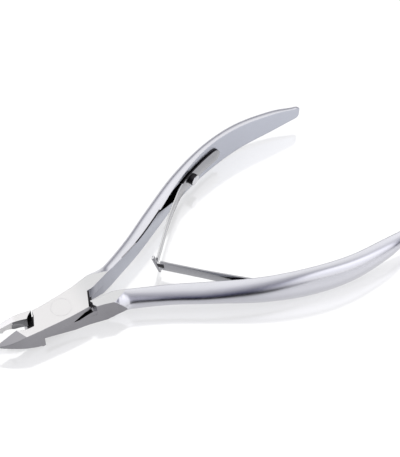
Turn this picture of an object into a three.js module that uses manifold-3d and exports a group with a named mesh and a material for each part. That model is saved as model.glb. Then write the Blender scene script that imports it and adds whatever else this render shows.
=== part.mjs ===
// Cuticle nipper with a lap joint and two interlocking leaf springs.
// Millimetres, +Z up. The pivot axis is Z, the jaws point to -X and the handles to +X.
// Z = 0 is the flat underside of the joint. The nipper is drawn open, as its springs hold it.
// The upper lever runs from the handle at +Y, over the pivot, to the jaw at -Y.
// The lower lever is its counterpart, so its lap is the same outline turned over about X.
import * as THREE from "three";
import { mergeVertices } from "three/addons/utils/BufferGeometryUtils.js";
import Module from "manifold-3d";

const wasm = await Module();
wasm.setup();

// Joint
const thickness = 6.3;
const middle = thickness / 2;
const lapGap = 0.3;
const pivotRadius = 1.8;
const pivotHeadRadius = 2.4;
const pivotHeadDepth = 0.8;
const pivotClearance = 0.06;

// Handles: x, y of the flat inner face, half height, depth and squareness of the section
const handleStations = [
  [9.0, 1.1, 4.3, 3.4, 5.0],
  [12.8, 2.5, 3.8, 3.3, 4.8],
  [16.9, 4.1, 2.9, 3.2, 2.6],
  [25.0, 7.5, 2.45, 3.7, 2.2],
  [33.3, 12.0, 2.65, 4.0, 2.2],
  [43.8, 18.0, 3.75, 3.6, 2.2],
  [54.2, 22.1, 4.6, 3.2, 2.2],
  [64.6, 23.95, 4.15, 3.3, 2.2],
  [75.0, 23.75, 3.1, 3.0, 2.1],
  [82.4, 23.1, 1.6, 1.8, 2.0],
];
const flatsEndX = 20;
const handleEndX = 83.4;
const handleRings = 44;
const sectionSteps = 18;

// Jaws
const heelRadius = 11.7;
const tipRadius = 17.6;
const tipHeight = 4.2;
const nearJawAngle = -1.0;
const farJawAngle = 10.9;
const keelStart = 6.4;
const keelRise = 4.0;

// Leaf springs: each lies along its handle as a straight chord, then bends off to the hook
const leafThickness = 0.7;
const leafMountHeight = 4.4;
const leafBendHeight = 4.2;
const leafTipHeight = 2.9;
const leafEnd = [57.4, 22.1];
const leafBend = [42.4, 16.45];
const tonguePath = [
  [40.6, 15.1],
  [37.8, 12.7],
  [34.15, 9.3],
  [29.5, 4.1],
];
const slottedPath = [
  [40.3, -14.9],
  [37.8, -11.9],
  [34.3, -7.8],
  [30.7, -3.8],
];
const leafHook = [26.8, 0.85];
const splitGap = 0.3;
const slotLength = 1.7;
const slotSetBack = 0.35;
const slotHeight = 1.6;
const slotLip = 0.3;
const tongueHeight = 1.0;
const headHeight = 5.2;
const headLength = 0.8;
const headTwist = 0.35;

// Spring rivets
const rivetAlong = 5.0;
const rivetHeadRadius = 1.75;
const rivetHeadHeight = 1.0;
const rivetShankRadius = 0.9;
const rivetHoleRadius = 1.2;
const rivetDepth = 2.2;
const rivetSeat = 0.3;

const degrees = Math.PI / 180;
const reach = 40;

const forged = new THREE.MeshStandardMaterial({ color: 0xc9cbce, roughness: 0.32, metalness: 1 });
const springSteel = new THREE.MeshStandardMaterial({ color: 0xa4a5ab, roughness: 0.22, metalness: 1 });
const polished = new THREE.MeshStandardMaterial({ color: 0xdcdde0, roughness: 0.08, metalness: 1 });

// ---------------------------------------------------------------- solids

function solid(geometry) {
  const bare = geometry.clone();
  for (const name of Object.keys(bare.attributes)) {
    if (name !== "position") bare.deleteAttribute(name);
  }
  const merged = mergeVertices(bare, 1e-4);
  const vertProperties = new Float32Array(merged.attributes.position.array);
  const triVerts = new Uint32Array(merged.index.array);
  return new wasm.Manifold(new wasm.Mesh({ numProp: 3, vertProperties, triVerts }));
}

// A solid from a mesh that a turn or a mirror may have left inside out.
function facingOut(geometry) {
  const body = solid(geometry);
  if (body.volume() > 0) return body;
  const turned = geometry.index ? geometry.clone() : mergeVertices(geometry);
  const index = turned.index.array;
  for (let i = 0; i < index.length; i += 3) {
    [index[i + 1], index[i + 2]] = [index[i + 2], index[i + 1]];
  }
  return solid(turned);
}

function toVector([x, y]) {
  return new THREE.Vector2(x, y);
}

function meshOf(name, body, material) {
  const made = body.getMesh();
  const geometry = new THREE.BufferGeometry();
  geometry.setAttribute("position", new THREE.BufferAttribute(made.vertProperties, 3));
  geometry.setIndex(new THREE.BufferAttribute(made.triVerts, 1));
  const mesh = new THREE.Mesh(geometry, material);
  mesh.name = name;
  return mesh;
}

// A flat plate of the given outline between two heights.
function plate(outline, low, high) {
  const shape = new THREE.Shape(outline.map(toVector));
  const geometry = new THREE.ExtrudeGeometry(shape, { depth: high - low, bevelEnabled: false });
  geometry.translate(0, 0, low);
  return geometry;
}

// A closed body through rings of points that all have the same count.
function loft(rings) {
  const count = rings[0].length;
  const positions = rings.flat().flatMap((p) => [p.x, p.y, p.z]);
  const index = [];
  for (let r = 0; r + 1 < rings.length; r++) {
    for (let i = 0; i < count; i++) {
      const a = r * count + i;
      const b = r * count + ((i + 1) % count);
      index.push(a, b, b + count, a, b + count, a + count);
    }
  }
  const last = (rings.length - 1) * count;
  for (let i = 1; i + 1 < count; i++) {
    index.push(0, i + 1, i);
    index.push(last, last + i, last + i + 1);
  }
  const geometry = new THREE.BufferGeometry();
  geometry.setAttribute("position", new THREE.Float32BufferAttribute(positions, 3));
  geometry.setIndex(index);
  return geometry;
}

// A large block that fills the side of a plane that its normal points to.
function halfSpace(point, normal) {
  const geometry = new THREE.BoxGeometry(reach, reach, reach);
  geometry.translate(0, 0, reach / 2);
  const up = new THREE.Vector3(0, 0, 1);
  geometry.applyQuaternion(new THREE.Quaternion().setFromUnitVectors(up, normal.clone().normalize()));
  geometry.translate(point.x, point.y, point.z);
  return geometry;
}

// The lower lever's half: the same shape turned over about the X axis at mid height.
function turnOver(geometry) {
  return geometry.clone().rotateX(Math.PI).translate(0, 0, thickness);
}

// The other side of the centre plane, at the same heights.
function mirrored(outline) {
  return outline.map(([x, y]) => [x, -y]).reverse();
}

// ---------------------------------------------------------------- handle curve

// Two smooth curves through the stations. Both hold x first, so they agree at each parameter.
function stationCurve(second, third) {
  const points = handleStations.map((row) => new THREE.Vector3(row[0], row[second], row[third]));
  return new THREE.CatmullRomCurve3(points, false, "catmullrom", 0.5);
}

const faceCurve = stationCurve(1, 2);
const bulkCurve = stationCurve(3, 4);

// The inner face's point, directions and section where the handle passes x.
function handleAt(x) {
  let low = 0;
  let high = 1;
  for (let step = 0; step < 30; step++) {
    const guess = (low + high) / 2;
    if (faceCurve.getPoint(guess).x < x) low = guess;
    else high = guess;
  }
  const face = faceCurve.getPoint(low);
  const bulk = bulkCurve.getPoint(low);
  const along = faceCurve.getTangent(low).setZ(0).normalize();
  return {
    point: new THREE.Vector3(face.x, face.y, 0),
    along,
    outward: new THREE.Vector3(-along.y, along.x, 0),
    half: face.z,
    depth: bulk.y,
    squareness: bulk.z,
  };
}

// A D section: flat towards the other handle, domed outside.
function handleRing(x, shrink) {
  const { point, outward, half, depth, squareness } = handleAt(x);
  const power = 2 / squareness;
  const ring = [];
  for (let i = 0; i <= sectionSteps; i++) {
    const turn = -Math.PI / 2 + (Math.PI * i) / sectionSteps;
    const out = depth * shrink * Math.abs(Math.cos(turn)) ** power;
    const up = half * shrink * Math.sign(turn) * Math.abs(Math.sin(turn)) ** power;
    ring.push(point.clone().addScaledVector(outward, out).setZ(middle + up));
  }
  return ring;
}

function handle() {
  const startX = handleStations[0][0];
  const bodyEndX = handleStations[handleStations.length - 1][0];
  const rings = [];
  for (let i = 0; i <= handleRings; i++) {
    rings.push(handleRing(THREE.MathUtils.lerp(startX, bodyEndX, i / handleRings), 1));
  }
  const roundSteps = 4;
  const { along, outward, depth } = handleAt(bodyEndX);
  for (let i = 1; i < roundSteps; i++) {
    const turn = (Math.PI / 2) * (i / roundSteps);
    const ring = handleRing(bodyEndX, Math.cos(turn));
    const onward = (handleEndX - bodyEndX) * Math.sin(turn);
    const sideways = (depth / 2) * (1 - Math.cos(turn));
    ring.forEach((p) => p.addScaledVector(along, onward).addScaledVector(outward, sideways));
    rings.push(ring);
  }
  return loft(rings);
}

// ---------------------------------------------------------------- levers

// The upper lever's lap, from the front edge at the jaws round to the crotch of the handles.
const lapOutline = [
  [-6.15, 2.75],
  [-6.45, 1.3],
  [-7.7, -1.3],
  [-8.4, -1.3],
  [-8.4, -3.22],
  [0.4, -3.5],
  [5.9, -3.3],
  [6.9, -1.2],
  [7.8, 1.0],
  [8.4, 0.95],
  [11.0, 1.9],
  [10.9, 5.1],
  [9.0, 4.65],
  [5.0, 3.75],
  [1.5, 3.3],
  [-4.1, 2.8],
];

// The block that the upper lever's handle grows out of, at the joint's full thickness.
const rootOutline = [
  [4.0, 3.5],
  [4.0, 1.0],
  [8.4, 0.95],
  [11.0, 1.9],
  [10.9, 5.1],
  [9.0, 4.65],
  [5.0, 3.75],
];

// What the upper lever's lap sweeps: the root of the lower lever stops at this shoulder.
const sweptByLap = [
  [2.0, -8.0],
  [5.1, -6.8],
  [6.2, -4.3],
  [7.15, -2.15],
  [8.8, -2.1],
  [12.2, -2.25],
  [12.2, 6.0],
  [-3.0, 6.0],
  [-3.0, -8.0],
];

// The relief under the rear corner of the upper lever's lap, a wedge that grows to the rear.
const reliefStartX = 1.8;
const reliefEndX = 6.6;
const reliefHeight = 1.0;
const reliefDepth = 1.4;
const lapSideY = -3.5;

// What the front of the lower lever's lap needs behind the shoulder of the upper lever's jaw.
const behindShoulder = [
  [-6.4, -2.9],
  [-7.6, -2.1],
  [-8.2, -1.5],
  [-8.6, 0.5],
  [-8.6, 8.0],
  [2.0, 8.0],
  [2.0, -8.0],
  [-6.4, -8.0],
];

// Ground flats: the joint's thickness up to where the handles begin to swell.
function betweenFlats() {
  const joint = new THREE.BoxGeometry(reach, reach, thickness);
  joint.translate(flatsEndX - reach / 2, 0, middle);
  const handles = new THREE.BoxGeometry(reach * 2, reach * 2, reach);
  handles.translate(flatsEndX - 0.1 + reach, 0, middle);
  return solid(joint).add(solid(handles));
}

// Half section of the pivot rivet with its two peened heads, flush with both faces.
function pivotProfile(grow, past) {
  const shank = pivotRadius + grow;
  const head = pivotHeadRadius + grow;
  return [
    [0, -past],
    [head, -past],
    [head, 0],
    [shank, pivotHeadDepth],
    [shank, thickness - pivotHeadDepth],
    [head, thickness],
    [head, thickness + past],
    [0, thickness + past],
  ].map(toVector);
}

function pivotHole() {
  return new THREE.LatheGeometry(pivotProfile(pivotClearance, 1), 48).rotateX(Math.PI / 2);
}

function relief() {
  const low = middle - 1;
  const rise = reliefHeight + 1;
  const wedge = [
    [reliefStartX, lapSideY - 0.5, low, 0.1],
    [reliefEndX, lapSideY - 0.5, low, rise],
  ].map(([x, y, z, high]) => [
    new THREE.Vector3(x, y, z),
    new THREE.Vector3(x, lapSideY + reliefDepth, z),
    new THREE.Vector3(x, lapSideY + reliefDepth, z + 1),
    new THREE.Vector3(x, y, z + 1 + high),
  ]);
  return loft(wedge);
}

// The lap and the handle of one lever, without its jaw. place leaves it or turns it over.
function lapAndHandle(place) {
  const lap = solid(place(plate(lapOutline, middle + lapGap / 2, thickness)));
  const swept = plate(mirrored(sweptByLap), -1, middle + lapGap / 2);
  const root = solid(place(plate(rootOutline, 0, thickness)))
    .add(solid(place(handle())))
    .intersect(betweenFlats())
    .subtract(solid(place(swept)));
  return lap.subtract(facingOut(place(relief()))).add(root);
}

// A jaw is a beak. Its inner face is the vertical plane of its cutting edge, which runs from the
// heel on the top face down to the tip. side is -1 for the jaw at -Y and 1 for the one at +Y.
function jaw({ side, angle, inner, outer }) {
  const edge = new THREE.Vector3(-Math.cos(angle * degrees), Math.sin(angle * degrees), 0);
  const out = new THREE.Vector3(side * edge.y, -side * edge.x, 0);
  const at = (r, offset, z = 0) => edge.clone().multiplyScalar(r).addScaledVector(out, offset).setZ(z);
  const outline = [...inner, [heelRadius, 0], [tipRadius, 0], ...outer].map(([r, offset]) => at(r, offset));
  const plan = outline.map((p) => [p.x, p.y]);
  const beak = solid(plate(side > 0 ? plan : plan.reverse(), 0, thickness));

  const heel = at(heelRadius, 0, thickness);
  const slope = at(tipRadius, 0, tipHeight).sub(heel);
  const across = at(heelRadius - 1.4, 2.8, thickness).sub(heel);
  const bevel = slope.cross(across);
  if (bevel.z < 0) bevel.negate();

  const keel = at(keelStart, 0);
  const keelRun = at(tipRadius, 0, keelRise).sub(keel);
  const under = new THREE.Vector3(edge.x * keelRun.z, edge.y * keelRun.z, keelStart - tipRadius);

  const scoop = new THREE.SphereGeometry(1, 28, 20);
  scoop.scale(...scoopRadii);
  scoop.rotateZ(Math.atan2(edge.y, edge.x));
  const centre = at(scoopAt, scoopOffset, scoopZ);
  scoop.translate(centre.x, centre.y, centre.z);

  return beak
    .subtract(solid(halfSpace(heel, bevel)))
    .subtract(solid(halfSpace(keel, under)))
    .subtract(solid(scoop));
}

// Radii along the jaw, across it and upright of the hollow ground under each cutting edge.
const scoopRadii = [3.4, 1.9, 2.5];
const scoopAt = 12.4;
const scoopOffset = -0.3;
const scoopZ = 1.7;

// Distance from the pivot, and offset from the plane of the cutting edge.
const nearJaw = {
  side: -1,
  angle: nearJawAngle,
  inner: [
    [6.3, 1.2],
    [7.7, 1.15],
    [9.9, 0.93],
    [11.0, 0.55],
  ],
  outer: [
    [16.9, 0.55],
    [15.7, 1.3],
    [14.1, 2.0],
    [12.2, 2.6],
    [10.3, 2.95],
    [6.3, 3.24],
  ],
};
const farJaw = {
  side: 1,
  angle: farJawAngle,
  inner: [
    [6.3, 0.3],
    [8.3, 0.0],
    [9.6, 0.2],
    [10.8, 0.25],
  ],
  outer: [
    [16.9, 0.4],
    [15.7, 0.95],
    [14.1, 1.4],
    [12.2, 1.65],
    [9.6, 1.8],
    [6.6, 1.75],
  ],
};

function upperLever() {
  const shoulder = plate(behindShoulder, -1, middle + lapGap / 2);
  return lapAndHandle((geometry) => geometry)
    .add(jaw(nearJaw).subtract(solid(shoulder)))
    .subtract(solid(pivotHole()))
    .subtract(rivetHole(1));
}

function lowerLever() {
  const shoulder = plate(mirrored(behindShoulder), middle - lapGap / 2, thickness + 1);
  return lapAndHandle(turnOver)
    .add(jaw(farJaw).subtract(solid(shoulder)))
    .subtract(solid(pivotHole()))
    .subtract(rivetHole(-1));
}

// ---------------------------------------------------------------- leaf springs

const leafRun = toVector(leafEnd).sub(toVector(leafBend));
const leafSlope = Math.atan2(leafRun.y, leafRun.x);

// A point on the middle surface of the straight chord. side is 1 for the leaf at +Y.
function onChord(distance, side) {
  const x = leafBend[0] + distance * Math.cos(leafSlope);
  const y = leafBend[1] + distance * Math.sin(leafSlope);
  return new THREE.Vector3(x, y * side, middle);
}

// The chord's unit normal, from the leaf towards its handle.
function chordNormal(side) {
  return new THREE.Vector3(-Math.sin(leafSlope), Math.cos(leafSlope) * side, 0);
}

// A flat strip along a plan path: each stop has a point, a unit normal and a height.
function strip(stops) {
  const half = leafThickness / 2;
  return loft(
    stops.map(({ point, normal, height }) => [
      point.clone().addScaledVector(normal, half).setZ(middle - height / 2),
      point.clone().addScaledVector(normal, half).setZ(middle + height / 2),
      point.clone().addScaledVector(normal, -half).setZ(middle + height / 2),
      point.clone().addScaledVector(normal, -half).setZ(middle - height / 2),
    ]),
  );
}

// The end of the leaf that lies along the handle under its rivet, with a round end.
function leafRoot(side) {
  const length = leafRun.length();
  const round = leafMountHeight / 2;
  const roundSteps = 6;
  const normal = chordNormal(side);
  const stops = [
    { point: onChord(splitGap / 2, side), normal, height: leafBendHeight },
    { point: onChord(length / 4, side), normal, height: leafMountHeight },
  ];
  for (let i = 0; i < roundSteps; i++) {
    const turn = (Math.PI / 2) * (i / roundSteps);
    const point = onChord(length - round + round * Math.sin(turn), side);
    stops.push({ point, normal, height: leafMountHeight * Math.cos(turn) });
  }
  return facingOut(strip(stops)).subtract(rivetHole(side));
}

// The free blade, from the bend through the hook and past it by the given length.
function leafBlade(bendPath, side, past, heightAt) {
  const start = onChord(-splitGap / 2, side);
  const hook = new THREE.Vector3(leafHook[0], leafHook[1], middle);
  const bend = bendPath.map(([x, y]) => new THREE.Vector3(x, y, middle));
  const path = new THREE.CatmullRomCurve3([start, ...bend, hook], false, "centripetal");
  const steps = 22;
  const stops = [];
  for (let i = 0; i <= steps; i++) {
    const tangent = path.getTangentAt(i / steps);
    const normal = new THREE.Vector3(-tangent.y, tangent.x, 0);
    stops.push({ point: path.getPointAt(i / steps), normal, height: heightAt(i / steps) });
  }
  const onward = path.getTangentAt(1);
  const last = stops[steps];
  stops.push({ ...last, point: last.point.clone().addScaledVector(onward, past) });
  return { body: facingOut(strip(stops)), hook, onward };
}

function bladeHeight(t) {
  return THREE.MathUtils.lerp(leafBendHeight, leafTipHeight, t);
}

// A block centred past the hook, with its length along the blade.
function atHook({ hook, onward }, past, size, twist = 0) {
  const block = new THREE.BoxGeometry(...size);
  block.rotateX(twist);
  block.rotateZ(Math.atan2(onward.y, onward.x));
  const centre = hook.clone().addScaledVector(onward, past);
  block.translate(centre.x, centre.y, centre.z);
  return solid(block);
}

function slottedBlade() {
  const blade = leafBlade(slottedPath, -1, slotLength / 2 - slotSetBack + slotLip, bladeHeight);
  const slot = [slotLength, leafThickness * 4, slotHeight];
  return blade.body.subtract(atHook(blade, -slotSetBack, slot));
}

function tongueBlade() {
  const neckFrom = 0.9;
  const through = leafThickness / 2 + 0.3 + headLength / 2;
  const heightAt = (t) => (t > neckFrom ? tongueHeight : bladeHeight(t));
  const blade = leafBlade(tonguePath, 1, through, heightAt);
  const head = [headLength, leafThickness, headHeight];
  return blade.body.add(atHook(blade, through, head, headTwist));
}

// ---------------------------------------------------------------- rivets

// Turns a lathe profile about the rivet's axis, with its zero on the leaf's inner surface.
function onLeaf(profile, side) {
  const inward = chordNormal(side).negate();
  const seat = onChord(rivetAlong, side).addScaledVector(inward, leafThickness / 2);
  const geometry = new THREE.LatheGeometry(profile.map(toVector), 24);
  geometry.applyQuaternion(new THREE.Quaternion().setFromUnitVectors(new THREE.Vector3(0, 1, 0), inward));
  geometry.translate(seat.x, seat.y, seat.z);
  return solid(geometry);
}

function rivetHole(side) {
  const bottom = -(rivetReach() + 0.3);
  const profile = [
    [0, bottom],
    [rivetHoleRadius, bottom],
    [rivetHoleRadius, 3],
    [0, 3],
  ];
  return onLeaf(profile, side);
}

// How far the shank goes below the leaf's inner surface: leaf, gap and a socket in the handle.
function rivetReach() {
  const leafToHandle = 1.0;
  return leafThickness + leafToHandle + rivetDepth;
}

// A domed head that stands just clear of the leaf, on a shank that ends inside the handle.
function springRivet(side) {
  const rim = 0.25;
  const profile = [
    [0, -rivetReach()],
    [rivetShankRadius, -rivetReach()],
    [rivetShankRadius, rivetSeat],
    [rivetHeadRadius, rivetSeat],
  ];
  const steps = 6;
  for (let i = 0; i <= steps; i++) {
    const turn = (Math.PI / 2) * (i / steps);
    const r = i === steps ? 0 : rivetHeadRadius * Math.cos(turn);
    profile.push([r, rivetSeat + rim + (rivetHeadHeight - rim) * Math.sin(turn)]);
  }
  return onLeaf(profile, side);
}

// ---------------------------------------------------------------- the nipper

const nipper = new THREE.Group();

nipper.add(meshOf("upper_lever", upperLever(), forged));
nipper.add(meshOf("lower_lever", lowerLever(), forged));

const rivet = solid(new THREE.LatheGeometry(pivotProfile(0, 0), 48).rotateX(Math.PI / 2));
nipper.add(meshOf("pivot_rivet", rivet, polished));

nipper.add(meshOf("tongue_spring_root", leafRoot(1), springSteel));
nipper.add(meshOf("tongue_spring_blade", tongueBlade(), springSteel));
nipper.add(meshOf("slotted_spring_root", leafRoot(-1), springSteel));
nipper.add(meshOf("slotted_spring_blade", slottedBlade(), springSteel));
nipper.add(meshOf("tongue_spring_rivet", springRivet(1), polished));
nipper.add(meshOf("slotted_spring_rivet", springRivet(-1), polished));

export default nipper;
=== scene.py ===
import math

import bmesh
import bpy
import numpy as np
from mathutils import Matrix, Vector


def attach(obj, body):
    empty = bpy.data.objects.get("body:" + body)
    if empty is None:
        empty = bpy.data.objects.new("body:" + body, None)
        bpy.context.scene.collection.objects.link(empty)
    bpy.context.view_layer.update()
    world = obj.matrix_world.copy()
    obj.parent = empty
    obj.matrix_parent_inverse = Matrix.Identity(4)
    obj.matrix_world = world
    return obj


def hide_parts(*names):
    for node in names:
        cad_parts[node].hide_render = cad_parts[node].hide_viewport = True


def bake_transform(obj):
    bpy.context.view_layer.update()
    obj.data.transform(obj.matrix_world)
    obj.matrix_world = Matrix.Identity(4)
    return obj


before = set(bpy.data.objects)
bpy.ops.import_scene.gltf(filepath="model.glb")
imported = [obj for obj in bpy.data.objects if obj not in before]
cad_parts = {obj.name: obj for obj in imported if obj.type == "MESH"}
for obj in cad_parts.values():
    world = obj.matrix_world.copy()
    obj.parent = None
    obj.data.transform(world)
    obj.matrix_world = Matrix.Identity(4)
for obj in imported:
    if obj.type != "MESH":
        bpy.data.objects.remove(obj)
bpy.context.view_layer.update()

MM = 0.001
THICKNESS = 6.3
MIDDLE = THICKNESS / 2
LAP_GAP = 0.06

# ---------------------------------------------------------------- mesh tools


SQUARE = ((-1, -1), (1, -1), (1, 1), (-1, 1))
BLOCK_FACES = [[3, 2, 1, 0], [4, 5, 6, 7], [0, 1, 5, 4], [1, 2, 6, 5], [2, 3, 7, 6], [3, 0, 4, 7]]


def linked(name, data):
    obj = bpy.data.objects.new(name, data)
    bpy.context.scene.collection.objects.link(obj)
    return obj


def turn_faces_out(mesh):
    made = bmesh.new()
    made.from_mesh(mesh)
    bmesh.ops.recalc_face_normals(made, faces=made.faces)
    made.to_mesh(mesh)
    made.free()


def new_object(name, verts, faces):
    mesh = bpy.data.meshes.new(name)
    mesh.from_pydata([tuple(v) for v in verts], [], faces)
    turn_faces_out(mesh)
    return linked(name, mesh)


def prism(outline, low, high, place=None):
    """A closed prism of a plan outline between two heights."""
    count = len(outline)
    verts = [Vector((x, y, low)) for x, y in outline] + [Vector((x, y, high)) for x, y in outline]
    if place:
        verts = [place(v) for v in verts]
    faces = [list(range(count))[::-1], list(range(count, 2 * count))]
    faces += [[i, (i + 1) % count, count + (i + 1) % count, count + i] for i in range(count)]
    return new_object("tool", verts, faces)


def loft(name, rings):
    """A closed body through rings that all have the same number of points."""
    count = len(rings[0])
    verts = [p for ring in rings for p in ring]
    faces = [list(range(count))[::-1], list(range(len(verts) - count, len(verts)))]
    for r in range(len(rings) - 1):
        for i in range(count):
            a, b = r * count + i, r * count + (i + 1) % count
            faces.append([a, b, b + count, a + count])
    return new_object(name, verts, faces)


def combine(obj, tool, operation):
    """Joins tool to obj, or cuts it away, and removes the tool."""
    modifier = obj.modifiers.new("bool", "BOOLEAN")
    modifier.operation = operation
    modifier.solver = "MANIFOLD"
    modifier.object = tool
    bpy.context.view_layer.update()
    graph = bpy.context.evaluated_depsgraph_get()
    mesh = bpy.data.meshes.new_from_object(obj.evaluated_get(graph))
    obj.modifiers.clear()
    obj.data = mesh
    bpy.data.objects.remove(tool)
    return obj


def cut(obj, tool):
    return combine(obj, tool, "DIFFERENCE")


def join(obj, tool):
    return combine(obj, tool, "UNION")


def half_space(point, normal, reach=60.0):
    """A large block on the side of a plane that its normal points to."""
    turn = Vector((0, 0, 1)).rotation_difference(Vector(normal).normalized()).to_matrix()
    corners = [Vector((x * reach, y * reach, z)) for z in (0, reach) for x, y in SQUARE]
    return new_object("tool", [turn @ c + Vector(point) for c in corners], BLOCK_FACES)


def lathe(name, profile, steps=64):
    """A body turned about Z from (radius, height) points that start and end at radius 0."""
    verts = [Vector((0, 0, profile[0][1]))]
    rows = profile[1:-1]
    turns = [2 * math.pi * i / steps for i in range(steps)]
    for r, z in rows:
        verts += [Vector((r * math.cos(turn), r * math.sin(turn), z)) for turn in turns]
    verts.append(Vector((0, 0, profile[-1][1])))
    faces = [[0, 1 + (i + 1) % steps, 1 + i] for i in range(steps)]
    for k in range(len(rows) - 1):
        a = 1 + k * steps
        b = a + steps
        faces += [[a + i, a + (i + 1) % steps, b + (i + 1) % steps, b + i] for i in range(steps)]
    top, a = len(verts) - 1, 1 + (len(rows) - 1) * steps
    faces += [[a + i, a + (i + 1) % steps, top] for i in range(steps)]
    return new_object(name, verts, faces)


def catmull(points, count):
    """Even parameter samples of a uniform Catmull-Rom curve through rows of numbers."""
    p = np.array(points, float)
    p = np.vstack([2 * p[0] - p[1], p, 2 * p[-1] - p[-2]])
    out = []
    for t in np.linspace(0, len(points) - 1, count):
        i = min(int(t), len(points) - 2)
        u = t - i
        p0, p1, p2, p3 = p[i : i + 4]
        a, b = (p2 - p0) / 2, (p3 - p1) / 2
        out.append(
            (2 * u**3 - 3 * u**2 + 1) * p1
            + (u**3 - 2 * u**2 + u) * a
            + (3 * u**2 - 2 * u**3) * p2
            + (u**3 - u**2) * b
        )
    return np.array(out)


def turned_over(v):
    """The place that a point of one lever has on the other, which is the same forging turned over."""
    return Vector((v[0], -v[1], THICKNESS - v[2]))


# ---------------------------------------------------------------- handles

# Sections of the upper handle from the joint to its end: x and y of the flat inner face,
# height above and below the middle, depth, and squareness of the domed side.
STATIONS = [
    (4.2, 0.95, 7.2, 7.8, 6.4, 1.5),
    (8.4, 1.0, 6.6, 7.2, 6.1, 1.45),
    (10.6, 1.7, 4.9, 6.4, 5.5, 1.4),
    (11.8, 2.15, 4.3, 5.9, 5.1, 1.4),
    (12.7, 2.5, 3.75, 5.1, 4.65, 1.4),
    (13.6, 2.85, 3.35, 4.1, 4.05, 1.45),
    (14.8, 3.3, 3.0, 3.25, 3.5, 1.6),
    (16.9, 4.1, 2.85, 2.85, 3.2, 2.0),
    (25.0, 7.5, 2.45, 2.45, 3.7, 2.2),
    (33.3, 12.0, 2.65, 2.65, 4.0, 2.2),
    (43.8, 18.0, 3.75, 3.75, 3.6, 2.2),
    (54.2, 22.1, 4.595, 4.595, 3.2, 2.2),
    (64.6, 23.95, 4.15, 4.15, 3.3, 2.2),
    (75.0, 23.75, 3.1, 3.1, 3.0, 2.1),
    (81.4, 23.2, 1.85, 1.85, 2.0, 2.0),
]
HANDLE_END_X = 83.33
END_STEPS = 10
END_ROUNDING = 0.75
# The outer side of the joint's end of the lever, in plan, where it is ground flat.
SIDE_WALL = [
    (4.0, 3.6), (5.0, 3.75), (9.0, 4.65), (11.8, 5.55),
    (13.55, 6.5), (14.3, 7.3), (15.6, 9.2), (20.0, 18.0),
]
FLATS_END_X = 20.0
RING_COUNT = 190
ARC_COUNT = 40

curve = catmull(STATIONS, RING_COUNT)
slope = np.gradient(curve[:, 1], curve[:, 0])


def handle_rings():
    """Sections along the handle, then ever smaller ones that round off its end."""
    rings = []
    for (x, y, high, low, depth, squareness), grade in zip(curve, slope):
        along = Vector((1, grade, 0)).normalized()
        outward = Vector((-along.y, along.x, 0))
        rings.append(section(Vector((x, y, 0)), outward, high, low, depth, squareness))
    for i in range(1, END_STEPS):
        turn = math.pi / 2 * i / END_STEPS
        shrink = math.cos(turn) ** END_ROUNDING
        start = Vector((x, y, 0))
        start += along * (HANDLE_END_X - x) * math.sin(turn) + outward * depth / 2 * (1 - shrink)
        rings.append(section(start, outward, high * shrink, low * shrink, depth * shrink, squareness))
    return rings


def section(point, outward, high, low, depth, squareness):
    """A D-shaped section: flat where it stands on the point, domed outwards."""
    power = 2 / squareness
    ring = []
    for i in range(ARC_COUNT + 1):
        turn = -math.pi / 2 + math.pi * i / ARC_COUNT
        out = depth * abs(math.cos(turn)) ** power
        up = (high if turn > 0 else -low) * abs(math.sin(turn)) ** power
        ring.append(point + outward * out + Vector((0, 0, MIDDLE + up)))
    return ring


# ---------------------------------------------------------------- joint

# Outlines in plan, and all of the upper lever, whose lap is the upper one.
LAP = [
    (-6.15, 2.75), (-6.45, 1.3), (-7.7, -1.3), (-8.4, -1.3), (-8.4, -3.22),
    (0.4, -3.5), (5.9, -3.3), (6.9, -1.2), (7.8, 1.0), (8.0, 1.6),
    (7.0, 3.6), (4.6, 3.4), (4.22, 3.62), (1.5, 3.3), (-4.1, 2.8),
]
# Below the middle, the room in the handle's end that the other lever needs to swing.
SWEPT = [
    (2.0, 8.0), (7.0, 8.0), (7.0, 4.0), (6.55, 3.2), (7.05, 2.15),
    (8.8, 2.08), (12.2, 2.3), (12.2, -6.0), (-3.0, -6.0), (-3.0, 8.0),
]
# Below the middle, the room behind the jaw's shoulder that the other lap needs to swing.
BEHIND_SHOULDER = [
    (-6.35, -2.9), (-7.5, -2.1), (-8.1, -1.5), (-8.5, 0.5),
    (-8.5, 8.0), (2.0, 8.0), (2.0, -8.0), (-6.35, -8.0),
]
# The relief under the lap's rear corner: (x, height above the middle) at its two ends.
RELIEF = [(0.45, 0.02), (6.9, 2.95)]
RELIEF_DEPTH = 2.0
LAP_SIDE_Y = -3.5
REAR_CHAMFER = 0.4
# A ramp under the lap that gets deeper towards the handle, and a ledge at its deep end.
RAMP = [(2.7, 2.75), (6.1, 2.75), (6.1, 3.97), (5.0, 3.74), (4.0, 3.59), (2.7, 3.42)]
RAMP_SLOPE = -0.42
LEDGE = [(6.0, 2.75), (7.2, 2.75), (7.2, 4.2), (6.0, 3.95)]
LEDGE_DROP = 1.35
PIN_RADIUS = 2.39
PIN_HOLE_RADIUS = 2.4
# How far the ramp and the ledge reach up into the lap.
OVERLAP = 0.1
# Far enough to cut right through.
THROUGH = 20


def wedge():
    """The relief under the rear corner of the lap, which opens towards the rear."""
    low = MIDDLE - 0.5
    verts = []
    for x, h in RELIEF:
        y0, y1 = LAP_SIDE_Y - 1.0, LAP_SIDE_Y + RELIEF_DEPTH
        verts += [Vector((x, y0, low)), Vector((x, y1, low))]
        verts += [Vector((x, y1, MIDDLE + 0.04)), Vector((x, y0, MIDDLE + h))]
    faces = [[0, 1, 2, 3], [7, 6, 5, 4], [0, 4, 5, 1], [1, 5, 6, 2], [2, 6, 7, 3], [3, 7, 4, 0]]
    return new_object("tool", verts, faces)


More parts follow.
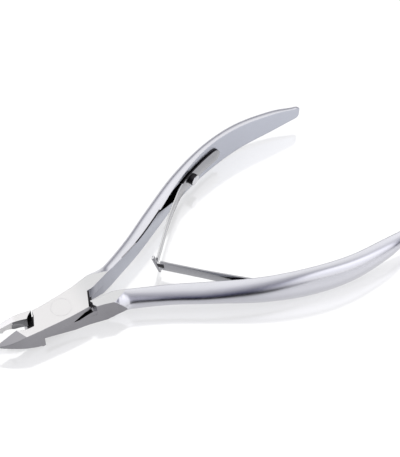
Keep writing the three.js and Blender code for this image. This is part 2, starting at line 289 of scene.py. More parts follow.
def lap_and_handle(name):
    """The lap and handle of the upper lever, in its own place."""
    body = loft(name, handle_rings())
    flats = [(-5, -40), (FLATS_END_X, -40), (FLATS_END_X, 40), (-5, 40)]
    cut(body, prism(flats, THICKNESS, THROUGH))
    cut(body, prism(flats, -THROUGH, 0))
    cut(body, prism(SIDE_WALL + [(20, 40), (-5, 40), (-5, 3.6)], -THROUGH, THROUGH))
    cut(body, prism(SWEPT, -1, MIDDLE + LAP_GAP / 2))
    lap = prism(LAP, MIDDLE + LAP_GAP / 2, THICKNESS)
    cut(lap, wedge())
    # The chamfer runs along the straight rear side of the lap.
    (x0, y0), (x1, y1) = LAP[6], LAP[8]
    rear = Vector((y1 - y0, x0 - x1, 0)).normalized()
    chamfer = half_space(Vector((x0, y0, THICKNESS)) - rear * REAR_CHAMFER, rear + Vector((0, 0, 1)))
    rear_end = prism([(3, -9), (20, -9), (20, 1.1), (3, 1.1)], 0, THROUGH)
    cut(lap, combine(chamfer, rear_end, "INTERSECT"))
    join(body, lap)
    ramp = prism(RAMP, MIDDLE - 3, MIDDLE + OVERLAP)
    cut(ramp, half_space((RAMP[0][0], 0, MIDDLE), (RAMP_SLOPE, 0, -1)))
    join(body, ramp)
    join(body, prism(LEDGE, MIDDLE - LEDGE_DROP, MIDDLE + OVERLAP))
    return body


# ---------------------------------------------------------------- jaws

# Points of a jaw are (distance from the pivot, offset from the plane of the cutting edge).
HEEL_RADIUS = 11.7
TIP_RADIUS = 17.6
TIP_HEIGHT = 4.2
BEVEL_POINT = (10.6, 2.85)
# The slanted plane below the cutting edge: its height there and its fall per millimetre of offset.
UNDERCUT_START = 8.3
UNDERCUT_HEIGHT = 3.1
UNDERCUT_FALL = 1.05
# The hollow round the heel of the cutting edge: distance, offset and height.
HOLLOW_CENTRE = (11.6, -0.35, 2.4)
HOLLOW_RADII = (2.9, 1.4, 3.1)
# The lower edge seen from the side: (distance from the pivot, height).
UNDERSIDE = [
    (6.9, -1.0), (7.3, 0.25), (8.2, 0.6), (9.5, 1.16), (10.9, 1.85),
    (12.5, 2.6), (14.2, 3.3), (15.6, 3.75), (16.8, 3.95), (19.0, 4.1),
]
NEAR_JAW = {
    "side": -1,
    "angle": -1.0,
    "inner": [(6.3, 1.2), (7.7, 1.15), (9.0, 1.08), (9.9, 0.93), (11.0, 0.5)],
    "outer": [
        (17.1, 0.35), (16.5, 0.78), (15.7, 1.3), (14.9, 1.7), (14.1, 2.02), (13.2, 2.34),
        (12.2, 2.62), (11.2, 2.83), (10.3, 2.95), (8.4, 3.08), (6.3, 3.22),
    ],
}
FAR_JAW = {
    "side": 1,
    "angle": 10.9,
    "inner": [(6.3, 0.2), (8.2, -0.2), (9.5, -0.04), (10.8, 0.02)],
    "outer": [
        (17.1, 0.25), (16.5, 0.58), (15.7, 0.95), (14.9, 1.22), (14.1, 1.42),
        (13.2, 1.57), (12.2, 1.55), (10.7, 1.66), (9.6, 1.78), (6.6, 1.75),
    ],
}


class JawFrame:
    """Places points by distance from the pivot, offset from the plane of the cutting edge, and height."""

    def __init__(self, side, angle):
        turn = math.radians(angle)
        self.edge = Vector((-math.cos(turn), math.sin(turn), 0))
        self.out = Vector((side * self.edge.y, -side * self.edge.x, 0))

    def at(self, r, offset, z=0.0):
        return self.edge * r + self.out * offset + Vector((0, 0, z))


def jaw(spec):
    """Makes a jaw. Also gives the normal of the bevel on its upper side and a point of that bevel."""
    place = JawFrame(spec["side"], spec["angle"])
    outline = spec["inner"] + [(HEEL_RADIUS, 0), (TIP_RADIUS, 0)] + spec["outer"]
    body = prism([place.at(r, o)[:2] for r, o in outline], 0, THICKNESS)

    heel = place.at(HEEL_RADIUS, 0, THICKNESS)
    slope_down = place.at(TIP_RADIUS, 0, TIP_HEIGHT) - heel
    across = place.at(*BEVEL_POINT, THICKNESS) - heel
    normal = slope_down.cross(across)
    if normal.z < 0:
        normal.negate()
    cut(body, half_space(heel, normal))

    keel = catmull(UNDERSIDE, 40)
    keel = np.vstack([keel, [19.0, -1.0]])
    cut(body, prism(keel, -3, 6, lambda v: place.at(v.x, v.z, v.y)))

    middle = 9.5
    inner = place.at(middle, 0, UNDERCUT_HEIGHT)
    tilt = place.at(middle, 1, UNDERCUT_HEIGHT - UNDERCUT_FALL) - inner
    down = tilt.cross(place.edge)
    if down.z > 0:
        down.negate()
    front = [(UNDERCUT_START, -8), (30, -8), (30, 12), (UNDERCUT_START, 12)]
    front = prism([place.at(r, o)[:2] for r, o in front], -10, 10)
    cut(body, combine(half_space(inner, down), front, "INTERSECT"))

    scoop = bmesh.new()
    bmesh.ops.create_uvsphere(scoop, u_segments=64, v_segments=40, radius=1)
    mesh = bpy.data.meshes.new("tool")
    scoop.to_mesh(mesh)
    scoop.free()
    for v in mesh.vertices:
        v.co = place.at(*[c + u * r for c, u, r in zip(HOLLOW_CENTRE, v.co, HOLLOW_RADII)])
    turn_faces_out(mesh)
    cut(body, linked("tool", mesh))
    return body, normal.normalized(), heel


# ---------------------------------------------------------------- pieces


def settle(obj, angle=28):
    """Scales a finished piece to metres and smooths all but its crisp edges."""
    obj.data.transform(Matrix.Scale(MM, 4))
    made = bmesh.new()
    made.from_mesh(obj.data)
    bmesh.ops.remove_doubles(made, verts=made.verts, dist=2e-7)
    bmesh.ops.dissolve_degenerate(made, dist=1e-7, edges=made.edges)
    made.to_mesh(obj.data)
    made.free()
    obj.data.shade_smooth()
    obj.data.set_sharp_from_angle(angle=math.radians(angle))


# The materials of a lever, in the order of its material slots.
FINISHES = [
    "satin_steel", "inner_face_steel", "joint_face_steel", "side_face_steel",
    "jaw_bevel_steel", "hollow_steel", "painted_shade_steel",
]
SATIN, INNER_FACE, JOINT_FACE, SIDE_FACE, JAW_BEVEL, HOLLOW, PAINTED_SHADE = range(len(FINISHES))
# Where along a lever its finishes change.
JAW_START_X = -6.3
FAR_HOLLOW_START_X = -11.4
INNER_FACE_START_X = 5.5
SIDES_END_X = 9.5
SIDE_WALL_END_X = 15.5
# The painted dark line along the upper edge of the upper lever's inner face, standing in for the dark
# reflection in that rounded edge: its start, where it turns dark, its end.
EDGE_LINE_X = (19, 24, 34.3)
# How far a face may be from the level or the outline that it is looked for on.
NEAR = 0.1
ON_OUTLINE = 0.07
ON_TOP = 0.05
# The least upright part of the normal of a level face.
LEVEL = 0.97


def beside(c, outline, low, high):
    """Whether a point lies on an open outline in plan, between two heights."""
    if not low < c.z < high:
        return False
    p = Vector((c.x, c.y))
    for a, b in zip(outline, outline[1:]):
        a, b = Vector(a), Vector(b)
        t = max(0, min(1, (p - a).dot(b - a) / (b - a).length_squared))
        if (a + (b - a) * t - p).length < ON_OUTLINE:
            return True
    return False


def in_crevice(c, n):
    """Whether a face of the upper lever, as it stands, lies in a gap that gets painted shade."""
    on_rear_chamfer = abs(n.z - 0.7) < 0.1 and n.x > 0.5 and c.x < 9
    if on_rear_chamfer:
        return True
    if abs(n.z) > 0.8:
        in_relief = 1.6 < c.z < 6.1 and 0.4 < c.x < 6.2 and abs(c.y) < 4.2
        return abs(c.z - MIDDLE) < NEAR or in_relief
    return (
        beside(c, SWEPT[3:6], -1, MIDDLE + NEAR)
        or beside(c, BEHIND_SHOULDER[:5], -1, MIDDLE + NEAR)
        or beside(c, LAP[:4], MIDDLE - NEAR, THICKNESS + NEAR)
    )


def on_inner_face(c, n):
    """Whether a face of the upper lever, as it stands, lies on the flat inner side of its handle."""
    if c.x < INNER_FACE_START_X or n.y > -0.5 or abs(n.z) > 0.1:
        return False
    off = c.y - np.interp(c.x, curve[:, 0], curve[:, 1])
    beside_lap = 8.0 < c.x < 13 and c.z < MIDDLE + NEAR and 0 < off < 1.5
    return abs(off) < 0.25 or beside_lap


def on_inner_edge(c, n):
    """Whether a face of the upper lever is the narrow one along the upper edge of its inner face."""
    if not EDGE_LINE_X[0] < c.x < EDGE_LINE_X[2] or n.z < 0.5:
        return False
    point, outward = inner_face(c.x)
    return 0 < (c - point).dot(outward) < 0.3


def jaw_finish(c, n, jaw_normal, heel, side, over):
    """The finish of a face of a jaw, by its centre and normal."""
    on_bevel = (c - heel).dot(jaw_normal) > -0.02 and n.dot(jaw_normal) > 0.95
    if on_bevel:
        # The far jaw's bevel keeps the bright ground steel; the near jaw's gets a darker copy, which is
        # painted shade.
        return JOINT_FACE if over else JAW_BEVEL
    if abs(n.z) > LEVEL and c.z > THICKNESS - ON_TOP:
        return JOINT_FACE
    faces_other_jaw = n.y * side < -0.2
    # Painted shade on the faces towards the other jaw; the far jaw's front part keeps the ground steel.
    if faces_other_jaw:
        return JOINT_FACE if over and c.x < FAR_HOLLOW_START_X else HOLLOW
    return SIDE_FACE


def handle_finish(c, n, home_c, home_n):
    """The finish of a face of a lap or handle, by its centre and normal here and on the upper lever."""
    if on_inner_face(home_c, home_n):
        return INNER_FACE
    if abs(n.z) > LEVEL and c.x < FLATS_END_X and (c.z > THICKNESS - ON_TOP or c.z < ON_TOP):
        return JOINT_FACE
    on_side_wall = c.x < SIDE_WALL_END_X and abs(n.z) < 0.1 and beside(home_c, SIDE_WALL, -1, 8)
    return SIDE_FACE if c.x < SIDES_END_X or on_side_wall else SATIN


def assign_finishes(obj, place, jaw_normal, heel, side, over):
    """Gives each face of a lever its finish. place takes a point to where it is on the upper lever."""
    obj.data.materials.clear()
    for name in FINISHES:
        obj.data.materials.append(MATERIALS["lower_" + name if over and "inner" in name else name])
    for polygon in obj.data.polygons:
        c, n = polygon.center, polygon.normal
        home_c = place(c)
        home_n = place(c + n) - home_c
        # Faces in the gaps get painted shade.
        if in_crevice(home_c, home_n):
            index = PAINTED_SHADE
        elif not over and on_inner_edge(home_c, home_n):
            # A painted dark line along that edge, on the upper lever only: first the darker side steel, then
            # near black.
            index = PAINTED_SHADE if home_c.x > EDGE_LINE_X[1] else SIDE_FACE
        elif beside(home_c, SWEPT[2:4], -1, MIDDLE + NEAR):
            index = JOINT_FACE
        elif c.x < JAW_START_X:
            index = jaw_finish(c, n, jaw_normal, heel, side, over)
        else:
            index = handle_finish(c, n, home_c, home_n)
        polygon.material_index = index


def pivot_hole():
    z0, z1 = -1.0, THICKNESS + 1
    return lathe("tool", [(0, z0), (PIN_HOLE_RADIUS, z0), (PIN_HOLE_RADIUS, z1), (0, z1)], 96)


def underside_bevel():
    """Takes the lower edge off the near side of the lower lap, more towards the jaw."""
    corner = Vector((1.5, -3.3, 0))
    high = Vector((-6.2, -2.75, 1.9))
    low = Vector((-6.2, -1.2, 0))
    normal = (high - corner).cross(low - corner)
    if normal.z > 0:
        normal.negate()
    front = prism([(-12, -20), (1.6, -20), (1.6, 20), (-12, 20)], -THROUGH, THROUGH)
    return combine(half_space(corner, normal), front, "INTERSECT")


def lever(name, node, body, over, spec):
    """One lever. The one with over set is the same forging turned over, but with its own jaw."""
    made = lap_and_handle(name)
    place = (lambda v: v) if not over else turned_over
    if over:
        for v in made.data.vertices:
            v.co = turned_over(v.co)
    head, jaw_normal, heel = jaw(spec)
    if over:
        shoulder = prism([(x, -y) for x, y in BEHIND_SHOULDER], MIDDLE - LAP_GAP / 2, THICKNESS + 1)
    else:
        shoulder = prism(BEHIND_SHOULDER, -1, MIDDLE + LAP_GAP / 2)
    cut(head, shoulder)
    join(made, head)
    if over:
        cut(made, underside_bevel())
    cut(made, pivot_hole())
    assign_finishes(made, place, jaw_normal, heel, spec["side"], over)
    settle(made)
    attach(made, body)
    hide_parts(node)


# The middle line of each leaf in the upper half plane, from where it leaves its handle to the hook.
# Its mount follows the handle's inner face.
LEAF_ROOT_THICKNESS = 0.5
LEAF_TIP_THICKNESS = 0.36
LEAF_ROOT_HEIGHT = 4.1
LEAF_TIP_HEIGHT = 3.0
LEAF_NECK_HEIGHT = 1.0
LEAF_NECK_LENGTH = 0.35
# The gap between a mount and its handle.
LEAF_SEAT = 0.08
MOUNT_END_X = 57.7
MOUNT_START_X = 45.6
TONGUE_PATH = [
    (43.5, 17.35), (41.5, 15.95), (40.0, 14.65), (38.0, 12.95), (36.0, 11.15),
    (34.0, 9.2), (32.0, 7.1), (30.0, 5.0), (28.0, 2.95), (26.35, 1.2),
]
SLOTTED_PATH = [
    (43.5, 17.2), (41.5, 15.35), (40.0, 13.8), (38.0, 11.75), (36.0, 9.7),
    (34.0, 7.6), (32.0, 5.5), (30.0, 3.4), (28.0, 1.3), (26.72, -0.12),
]
# The bar of the T, the slot that it hooks behind, and the tab between them: along, across and upright.
T_BAR_CENTRE = Vector((26.1, 0.88, MIDDLE))
T_BAR_SIZE = (0.9, 0.55, 5.2)
T_BAR_TWIST = 0.33
SLOT_SIZE = (0.8, 3.0, 1.3)
SLOT_FROM_END = 0.55
TAB_SIZE = (2.1, 0.5, 1.25)
# Where a leaf leaves its handle, and where it has taken up all of its bend.
BEND_END = (38.5, 13.2)
RIVET_X = 47.1


def inner_face(x):
    """Point and outward normal of the upper handle's inner face at an x."""
    y = np.interp(x, curve[:, 0], curve[:, 1])
    grade = np.interp(x, curve[:, 0], slope)
    along = Vector((1, grade, 0)).normalized()
    return Vector((x, y, MIDDLE)), Vector((-along.y, along.x, 0))


def leaf(name, side, path, neck):
    """A strip made in the upper half plane and mirrored for the lower one, its end and the way it points."""
    centre = []
    for x in np.linspace(MOUNT_END_X, MOUNT_START_X, 14):
        point, outward = inner_face(x)
        centre.append(tuple((point - outward * (LEAF_SEAT + LEAF_ROOT_THICKNESS / 2))[:2]))
    dense = catmull(centre + path, 900)
    run = np.concatenate([[0], np.cumsum(np.linalg.norm(np.diff(dense, axis=0), axis=1))])
    mount = MOUNT_END_X - MOUNT_START_X
    radius = LEAF_ROOT_HEIGHT / 2
    round_end = radius * (1 - np.cos(np.linspace(0, math.pi / 2, 12)))
    rest = np.linspace(radius + 0.5, run[-1], 90)

    def on_path(distance):
        return Vector([np.interp(distance, run, dense[:, k]) for k in range(2)] + [MIDDLE])

    rings = []
    for distance in np.concatenate([round_end, rest]):
        p = on_path(distance)
        ahead = (on_path(distance + 0.05) - on_path(distance - 0.05)).normalized()
        across = Vector((ahead.y, -ahead.x, 0))
        t = max(0.0, (distance - mount) / (run[-1] - mount))
        height = LEAF_ROOT_HEIGHT + (LEAF_TIP_HEIGHT - LEAF_ROOT_HEIGHT) * min(1, t * 1.6)
        if distance < radius:
            height = max(0.5, 2 * math.sqrt(max(0, radius**2 - (radius - distance) ** 2)))
        if neck and run[-1] - distance < LEAF_NECK_LENGTH:
            height = LEAF_NECK_HEIGHT
        half = (LEAF_ROOT_THICKNESS + (LEAF_TIP_THICKNESS - LEAF_ROOT_THICKNESS) * min(1, t * 3)) / 2
        up = Vector((0, 0, height / 2))
        near, far = p + across * half, p - across * half
        rings.append([Vector((v.x, v.y * side, v.z)) for v in (near - up, near + up, far + up, far - up)])
    return loft(name, rings), Vector((p.x, p.y * side, MIDDLE)), Vector((ahead.x, ahead.y * side, 0))


def block_at(centre, along, size, twist=0.0):
    """A block with its length along a direction in plan, twisted about it."""
    turn = Matrix.Rotation(math.atan2(along.y, along.x), 4, "Z") @ Matrix.Rotation(twist, 4, "X")
    corners = [Vector((x * size[0], y * size[1], z * size[2])) / 2 for z in (-1, 1) for x, y in SQUARE]
    return new_object("tool", [turn @ c + centre for c in corners], BLOCK_FACES)


def round_edges(obj, width, segments=2, angle=40):
    modifier = obj.modifiers.new("bevel", "BEVEL")
    modifier.width = width
    modifier.segments = segments
    modifier.limit_method = "ANGLE"
    modifier.angle_limit = math.radians(angle)
    bpy.context.view_layer.update()
    graph = bpy.context.evaluated_depsgraph_get()
    obj.data = bpy.data.meshes.new_from_object(obj.evaluated_get(graph))
    obj.modifiers.clear()


def springs():
    """Both leaves, hooked into each other."""
    tongue, _, ahead = leaf("tongue_leaf", 1, TONGUE_PATH, True)
    join(tongue, block_at(T_BAR_CENTRE, ahead, T_BAR_SIZE, T_BAR_TWIST))
    slotted, end, ahead = leaf("slotted_leaf", -1, SLOTTED_PATH, False)
    slot_centre = end - ahead * SLOT_FROM_END
    cut(slotted, block_at(slot_centre, ahead, SLOT_SIZE))
    join(tongue, block_at((slot_centre + T_BAR_CENTRE) / 2, slot_centre - T_BAR_CENTRE, TAB_SIZE))
    for made, handle, blade, nodes, side in (
        (tongue, "upper", "tongue_blade", ("tongue_spring_root", "tongue_spring_blade"), 1),
        (slotted, "lower", "slotted_blade", ("slotted_spring_root", "slotted_spring_blade"), -1),
    ):
        round_edges(made, 0.06)
        made.data.materials.clear()
        for finish in ("spring_steel", "joint_face_steel", "painted_shade_steel"):
            made.data.materials.append(MATERIALS[finish])
        # The bright ground steel serves as a painted highlight, the near-black one as painted shade.
        plain, bright, dark = range(3)
        for polygon in made.data.polygons:
            c, n = polygon.center, polygon.normal
            near_slot = abs(c.z - MIDDLE) < 0.66 and (c - slot_centre).length < 1.5
            if near_slot and (c - T_BAR_CENTRE).dot(ahead) < -0.35 and abs(n.z) < 0.9:
                # The tab, and the walls of the slot: painted shade.
                polygon.material_index = dark if side > 0 or abs(n.dot(ahead)) > 0.5 else plain
            elif side > 0 and n.z > 0.7:
                # The upper edge gets a painted highlight along the free part and painted shade along the
                # mount.
                polygon.material_index = bright if c.x < TONGUE_PATH[0][0] else dark
        settle(made)
        end = (BEND_END[0] * MM, BEND_END[1] * MM * side, MIDDLE * MM)
        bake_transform(made)
        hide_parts(*nodes)


def spring_rivet(name, node, body, side):
    """A short, slightly domed head on the leaf, and its shank in the handle."""
    point, outward = inner_face(RIVET_X)
    seat = point - outward * (LEAF_SEAT + LEAF_ROOT_THICKNESS)
    seat.y *= side
    outward.y *= side
    radius, rim, dome = 1.45, 1.1, 0.3
    shank_radius, shank_end = 0.9, -2.2
    edge, lift = 0.1, 0.01
    profile = [(0, shank_end), (shank_radius, shank_end), (shank_radius, lift)]
    profile += [(radius - edge, lift), (radius, edge), (radius, rim - edge)]
    steps = 20
    for i in range(1, steps):
        turn = math.pi / 2 * i / steps
        profile.append((radius * math.cos(turn), rim + dome * math.sin(turn)))
    profile.append((0, rim + dome))
    made = lathe(name, profile, 72)
    turn = Vector((0, 0, 1)).rotation_difference(-outward).to_matrix().to_4x4()
    made.data.materials.append(MATERIALS["mirror_steel"])
    made.data.materials.append(MATERIALS["painted_shade_steel"])
    # The domed face is polished; the side wall and shank take painted shade.
    for polygon in made.data.polygons:
        polygon.material_index = 0 if polygon.normal.z > 0.8 else 1
    made.data.transform(Matrix.Translation(seat) @ turn)
    settle(made, 35)
    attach(made, body)
    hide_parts(node)


def pivot():
    profile = [(0, 0), (PIN_RADIUS, 0), (PIN_RADIUS, THICKNESS), (0, THICKNESS)]
    made = lathe("pivot_pin", profile, 96)
    made.data.materials.append(MATERIALS["flush_steel"])
    settle(made)
    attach(made, "lower")
    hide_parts("pivot_rivet")


# ---------------------------------------------------------------- materials


def steel(name, colour, roughness, streak, streak_amount, grain, edge=0.12):
    """Steel with streaks or blotches in its colour and roughness, a fine grain and softly rounded edges.

    streak is how often they change per metre along each axis, and edge the radius of the edges."""
    material = bpy.data.materials.new(name)
    material.use_nodes = True
    nodes, links = material.node_tree.nodes, material.node_tree.links
    shader = nodes["Principled BSDF"]
    shader.inputs["Metallic"].default_value = 1.0
    place = nodes.new("ShaderNodeTexCoord")
    mapping = nodes.new("ShaderNodeMapping")
    mapping.inputs["Scale"].default_value = streak
    noise = nodes.new("ShaderNodeTexNoise")
    noise.inputs["Scale"].default_value = 1.0
    noise.inputs["Detail"].default_value = 4.0
    links.new(place.outputs["Object"], mapping.inputs["Vector"])
    links.new(mapping.outputs["Vector"], noise.inputs["Vector"])

    ramp = nodes.new("ShaderNodeMix")
    ramp.data_type = "RGBA"
    dark = [c * (1 - streak_amount) for c in colour]
    bright = [min(1, c * (1 + streak_amount)) for c in colour]
    ramp.inputs["A"].default_value = (*dark, 1)
    ramp.inputs["B"].default_value = (*bright, 1)
    links.new(noise.outputs["Fac"], ramp.inputs["Factor"])
    links.new(ramp.outputs["Result"], shader.inputs["Base Color"])

    rough = nodes.new("ShaderNodeMapRange")
    rough.inputs["To Min"].default_value = roughness * 0.8
    rough.inputs["To Max"].default_value = roughness * 1.2
    links.new(noise.outputs["Fac"], rough.inputs["Value"])
    links.new(rough.outputs["Result"], shader.inputs["Roughness"])

    fine = nodes.new("ShaderNodeTexNoise")
    fine.inputs["Scale"].default_value = 9000
    fine.inputs["Detail"].default_value = 2.0
    links.new(place.outputs["Object"], fine.inputs["Vector"])
    bump = nodes.new("ShaderNodeBump")
    bump.inputs["Strength"].default_value = grain
    bump.inputs["Distance"].default_value = 0.00002
    links.new(fine.outputs["Fac"], bump.inputs["Height"])
    if edge:
        bevel = nodes.new("ShaderNodeBevel")
        bevel.samples = 6
        bevel.inputs["Radius"].default_value = edge * MM
        links.new(bevel.outputs["Normal"], bump.inputs["Normal"])
    links.new(bump.outputs["Normal"], shader.inputs["Normal"])
    return material


def shade_behind_leaf(material, flipped):
    """Paints shade on a handle's inner face: blackens the strip between the leaf and the handle's upper
    edge, without reflections, and darkens the face towards the joint.
    """
    nodes, links = material.node_tree.nodes, material.node_tree.links
    shader = nodes["Principled BSDF"]
    place = nodes.new("ShaderNodeTexCoord")
    parts = nodes.new("ShaderNodeSeparateXYZ")
    links.new(place.outputs["Object"], parts.inputs[0])
    along, height = parts.outputs["X"], parts.outputs["Z"]

    def calc(operation, a, b):
        return math_node(nodes, links, operation, a, b)

    def step(value, low, high):
        return step_node(nodes, links, value, low * MM, high * MM)

    def falling(grade, x, z):
        """The height of a line that falls along the handle and passes through (x, z)."""
        return calc("ADD", calc("MULTIPLY", along, -grade), (z + grade * x) * MM)

    if flipped:
        height = calc("SUBTRACT", THICKNESS * MM, height)
    # The strip starts on a slanted line and ends with the leaf.
    bottom = calc("MAXIMUM", falling(0.62, 34.2, 5.3), 1.2 * MM)
    above = step(calc("SUBTRACT", height, bottom), 0.0, 0.12)
    leaf_shade_mask = calc("MULTIPLY", calc("MULTIPLY", above, step(along, 32.5, 34.0)), step(along, 57.8, 57.4))
    # Its top falls slowly along the mount and turns down round the leaf's end.
    past = calc("MAXIMUM", calc("SUBTRACT", along, 54.5 * MM), 0.0)
    drop = calc("MULTIPLY", calc("MULTIPLY", past, past), 140.0)
    top = calc("SUBTRACT", falling(0.04, 42.5, 5.9), drop)
    top = calc("MAXIMUM", top, falling(0.25, 40.0, 6.4))
    leaf_shade_mask = calc("MULTIPLY", leaf_shade_mask, step(calc("SUBTRACT", top, height), 0.0, 0.15))

    # Painted shade: the face darkens towards the joint.
    joint_shade = calc("MULTIPLY", step(along, 26.0, 8.0), 0.65)
    colour = shader.inputs["Base Color"].links[0].from_socket
    colour = blended(nodes, links, joint_shade, colour, (0.3, 0.3, 0.335, 1))
    # Painted shade: the strip behind the leaf turns near black.
    colour = blended(nodes, links, leaf_shade_mask, colour, (0.003, 0.003, 0.004, 1))
    links.new(colour, shader.inputs["Base Color"])
    # The strip also loses its reflections, as part of the painted shade.
    tint = blended(nodes, links, leaf_shade_mask, (1, 1, 1, 1), (0, 0, 0, 1))
    links.new(tint, shader.inputs["Specular Tint"])
    return material


def fade_towards_handle(material, colour):
    """Paints a little shade on the joint's faces, growing from the pivot towards the handles."""
    nodes, links = material.node_tree.nodes, material.node_tree.links
    place = nodes.new("ShaderNodeTexCoord")
    parts = nodes.new("ShaderNodeSeparateXYZ")
    links.new(place.outputs["Object"], parts.inputs[0])
    amount = step_node(nodes, links, parts.outputs["X"], 2.5 * MM, 9.0 * MM)
    socket = nodes["Principled BSDF"].inputs["Base Color"]
    links.new(blended(nodes, links, amount, socket.links[0].from_socket, colour), socket)
    return material


def blended(nodes, links, factor, colour, other):
    """Goes from a colour, given as a value or a socket, to another one as the factor goes to 1."""
    mix = nodes.new("ShaderNodeMix")
    mix.data_type = "RGBA"
    links.new(factor, mix.inputs["Factor"])
    if isinstance(colour, tuple):
        mix.inputs["A"].default_value = colour
    else:
        links.new(colour, mix.inputs["A"])
    mix.inputs["B"].default_value = other
    return mix.outputs["Result"]


def math_node(nodes, links, operation, a, b):
    node = nodes.new("ShaderNodeMath")
    node.operation = operation
    for socket, value in zip(node.inputs, (a, b)):
        if isinstance(value, (int, float)):
            socket.default_value = value
        else:
            links.new(value, socket)
    return node.outputs[0]


def step_node(nodes, links, value, low, high):
    """A soft step from 0 at low to 1 at high."""
    node = nodes.new("ShaderNodeMapRange")
    node.interpolation_type = "SMOOTHSTEP"
    node.inputs["From Min"].default_value = low
    node.inputs["From Max"].default_value = high
    links.new(value, node.inputs["Value"])
    return node.outputs["Result"]


# Colour, roughness, streaks, their strength, and grain.
INNER = ((0.47, 0.485, 0.54), 0.3, (300, 300, 6000), 0.06, 0.2)
GROUND = ((0.62, 0.61, 0.612), 0.22, (250, 7000, 1000), 0.03, 0.15)
MATERIALS = {
    "satin_steel": steel("satin_steel", (0.57, 0.57, 0.605), 0.2, (250, 900, 900), 0.03, 0.25, edge=0.35),
    "inner_face_steel": shade_behind_leaf(steel("inner_face_steel", *INNER, edge=0.35), False),
    "lower_inner_face_steel": shade_behind_leaf(steel("lower_inner_face_steel", *INNER, edge=0.35), True),
    # The joint's ground faces, with painted shade towards the handles.
    "joint_face_steel": fade_towards_handle(steel("joint_face_steel", *GROUND), (0.53, 0.53, 0.535, 1)),
    "flush_steel": steel("flush_steel", *GROUND, edge=0.0),
    # Near black: painted shade in the gaps, in the spring's slot, on the rivet's side and along dark edge
    # strips.
    "painted_shade_steel": steel("painted_shade_steel", (0.035, 0.033, 0.036), 0.4, (900, 900, 900), 0.2, 0.2),
    # A darker copy of the joint's ground steel: painted shade on the upright faces.
    "side_face_steel": steel("side_face_steel", (0.275, 0.27, 0.285), 0.3, (250, 250, 7000), 0.07, 0.2),
    # A darker copy of the ground steel: painted shade on the near jaw's bevel.
    "jaw_bevel_steel": steel("jaw_bevel_steel", (0.28, 0.275, 0.285), 0.32, (300, 5000, 300), 0.05, 0.2),
    # Dark: painted shade in the hollow at the heel and on the faces towards the other jaw.
    "hollow_steel": steel("hollow_steel", (0.2, 0.2, 0.21), 0.25, (900, 900, 900), 0.08, 0.2),
    "spring_steel": steel("spring_steel", (0.34, 0.34, 0.355), 0.16, (300, 300, 5000), 0.05, 0.12),
    "mirror_steel": steel("mirror_steel", (0.62, 0.62, 0.64), 0.05, (800, 800, 800), 0.02, 0.03, edge=0.05),
}

# ---------------------------------------------------------------- the nipper

lever("upper_lever_body", "upper_lever", "upper", False, NEAR_JAW)
lever("lower_lever_body", "lower_lever", "lower", True, FAR_JAW)
pivot()
springs()
spring_rivet("tongue_leaf_rivet", "tongue_spring_rivet", "upper", 1)
spring_rivet("slotted_leaf_rivet", "slotted_spring_rivet", "lower", -1)

# ---------------------------------------------------------------- floor and light

# The handles swell below the joint, so the tool rests on them and on the front of the joint.
FLOOR_SIZE = 3.0
FLOOR_GRADE = 1.47 / 61.0
FLOOR_TOUCH_X = -0.0085
FLOOR_GAP = 0.00002
corners = [(x * FLOOR_SIZE, y * FLOOR_SIZE) for x, y in SQUARE]
floor_verts = [(x, y, -FLOOR_GAP - (x - FLOOR_TOUCH_X) * FLOOR_GRADE) for x, y in corners]
floor_mesh = bpy.data.meshes.new("floor")
floor_mesh.from_pydata(floor_verts, [], [(0, 1, 2, 3)])
floor = linked("floor", floor_mesh)

# A pale floor that glows a little and mirrors more the flatter it is looked at.
pale = bpy.data.materials.new("pale_floor")
pale.use_nodes = True
nodes, links = pale.node_tree.nodes, pale.node_tree.links
nodes.clear()
output = nodes.new("ShaderNodeOutputMaterial")
diffuse = nodes.new("ShaderNodeBsdfDiffuse")
diffuse.inputs["Color"].default_value = (0.35, 0.35, 0.35, 1)
gloss = nodes.new("ShaderNodeBsdfGlossy")
gloss.inputs["Roughness"].default_value = 0.1
glow = nodes.new("ShaderNodeEmission")
glow.inputs["Strength"].default_value = 0.735
add = nodes.new("ShaderNodeAddShader")
links.new(diffuse.outputs[0], add.inputs[0])
links.new(glow.outputs[0], add.inputs[1])
facing = nodes.new("ShaderNodeLayerWeight")
power = nodes.new("ShaderNodeMath")
power.operation = "POWER"
power.inputs[1].default_value = 3.5
links.new(facing.outputs["Facing"], power.inputs[0])
share = nodes.new("ShaderNodeMapRange")
share.inputs["To Min"].default_value = 0.25
share.inputs["To Max"].default_value = 0.97
links.new(power.outputs[0], share.inputs["Value"])
mix = nodes.new("ShaderNodeMixShader")
links.new(share.outputs["Result"], mix.inputs["Fac"])
links.new(add.outputs[0], mix.inputs[1])
links.new(gloss.outputs[0], mix.inputs[2])
links.new(mix.outputs[0], output.inputs["Surface"])
floor_mesh.materials.append(pale)

# Camera: its turn about the pivot axis, its elevation and distance, and how far the pivot is off
# the middle of the view.
TURN = math.radians(32.29)
ELEVATION = math.radians(52.0)
DISTANCE = 320.1
OFF_RIGHT, OFF_UP = -31.92, -20.04
right = Vector((math.cos(TURN), -math.sin(TURN), 0))
level = Vector((math.sin(TURN), math.cos(TURN), 0))
up = level * math.sin(ELEVATION) + Vector((0, 0, math.cos(ELEVATION)))
back = right.cross(up)
camera_data = bpy.data.cameras.new("camera")
camera_data.sensor_width = 36.0
camera_data.lens = 108.88
camera_data.clip_start = 0.01
camera_data.clip_end = 20.0
camera = linked("camera", camera_data)
place = Vector((0, 0, MIDDLE)) - right * OFF_RIGHT - up * OFF_UP + back * DISTANCE
turn = Matrix((right, up, back)).transposed().to_4x4()
camera.matrix_world = Matrix.Translation(place * MM) @ turn
bpy.context.scene.camera = camera

# World: a broad light above and behind the tool, darkness low in front of it, a second light on the
# right, and weak lights on both sides that show the tool from behind.
away = -Vector((back.x, back.y, 0)).normalized()


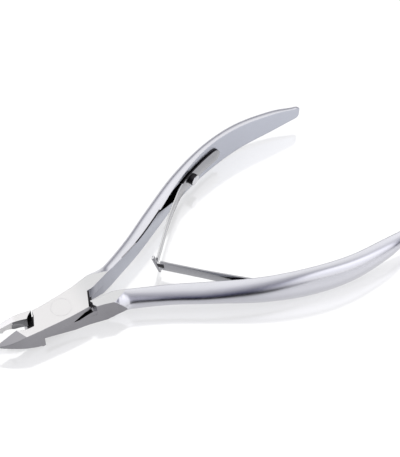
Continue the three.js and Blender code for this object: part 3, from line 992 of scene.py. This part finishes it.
def compass(azimuth, elevation):
    """A direction at an azimuth, in degrees from the camera's side towards its right, and an elevation."""
    a, h = math.radians(azimuth), math.radians(elevation)
    flat = -away * math.cos(a) + right * math.sin(a)
    return flat * math.cos(h) + Vector((0, 0, math.sin(h)))


world = bpy.data.worlds.new("studio")
bpy.context.scene.world = world
world.use_nodes = True
nodes, links = world.node_tree.nodes, world.node_tree.links
nodes.clear()
direction = nodes.new("ShaderNodeTexCoord")


def light_field(axis, stops):
    """Brightness that depends on the angle from an axis: stops of (cosine, brightness)."""
    dot = nodes.new("ShaderNodeVectorMath")
    dot.operation = "DOT_PRODUCT"
    dot.inputs[1].default_value = axis
    links.new(direction.outputs["Generated"], dot.inputs[0])
    spread = nodes.new("ShaderNodeMapRange")
    spread.inputs["From Min"].default_value = -1.0
    links.new(dot.outputs["Value"], spread.inputs["Value"])
    ramp = nodes.new("ShaderNodeValToRGB")
    links.new(spread.outputs["Result"], ramp.inputs["Fac"])
    colours = ramp.color_ramp.elements
    colours[0].position = (stops[0][0] + 1) / 2
    colours[1].position = (stops[-1][0] + 1) / 2
    for cosine, _ in stops[1:-1]:
        colours.new((cosine + 1) / 2)
    for element, (_, bright) in zip(colours, stops):
        # Half bright parts are a little bluer.
        element.color = (bright, bright, bright + 0.06 * (1 - bright) * min(1, bright * 20), 1)
    return ramp.outputs["Color"]


overhead = light_field(
    compass(180, 40),
    [
        (-0.67, 0.005), (-0.4, 0.03), (-0.24, 0.1), (-0.09, 0.2), (0.14, 0.36),
        (0.45, 0.56), (0.67, 0.82), (0.85, 0.95), (1.0, 1.0),
    ],
)
on_right = light_field(compass(50, 23), [(0.79, 0.0), (0.85, 0.45), (0.91, 1.0), (1.0, 1.0)])
left_fill = light_field(compass(-85, 25), [(0.45, 0.0), (0.75, 0.35), (0.95, 0.6), (1.0, 0.6)])
right_fill = light_field(compass(110, 25), [(0.8, 0.0), (0.9, 0.35), (0.97, 0.6), (1.0, 0.6)])
horizon = light_field(Vector((0, 0, 1)), [(0.0, 0.3), (0.15, 0.45), (0.35, 0.85), (0.5, 1.0)])
dimmed = nodes.new("ShaderNodeMix")
dimmed.data_type = "RGBA"
dimmed.blend_type = "MULTIPLY"
dimmed.inputs["Factor"].default_value = 1.0
links.new(overhead, dimmed.inputs["A"])
links.new(horizon, dimmed.inputs["B"])
total = dimmed.outputs["Result"]
for field, strength in ((on_right, 0.95), (left_fill, 0.7), (right_fill, 0.3)):
    added = nodes.new("ShaderNodeMix")
    added.data_type = "RGBA"
    added.blend_type = "ADD"
    added.clamp_result = False
    added.inputs["Factor"].default_value = strength
    links.new(total, added.inputs["A"])
    links.new(field, added.inputs["B"])
    total = added.outputs["Result"]
plain = nodes.new("ShaderNodeBackground")
plain.inputs["Color"].default_value = (1, 1, 1, 1)
studio = nodes.new("ShaderNodeBackground")
studio.inputs["Strength"].default_value = 1.38
links.new(total, studio.inputs["Color"])
path = nodes.new("ShaderNodeLightPath")
choose = nodes.new("ShaderNodeMixShader")
output = nodes.new("ShaderNodeOutputWorld")
links.new(path.outputs["Is Camera Ray"], choose.inputs["Fac"])
links.new(studio.outputs[0], choose.inputs[1])
links.new(plain.outputs[0], choose.inputs[2])
links.new(choose.outputs[0], output.inputs["Surface"])

bpy.context.scene.view_settings.view_transform = "Standard"
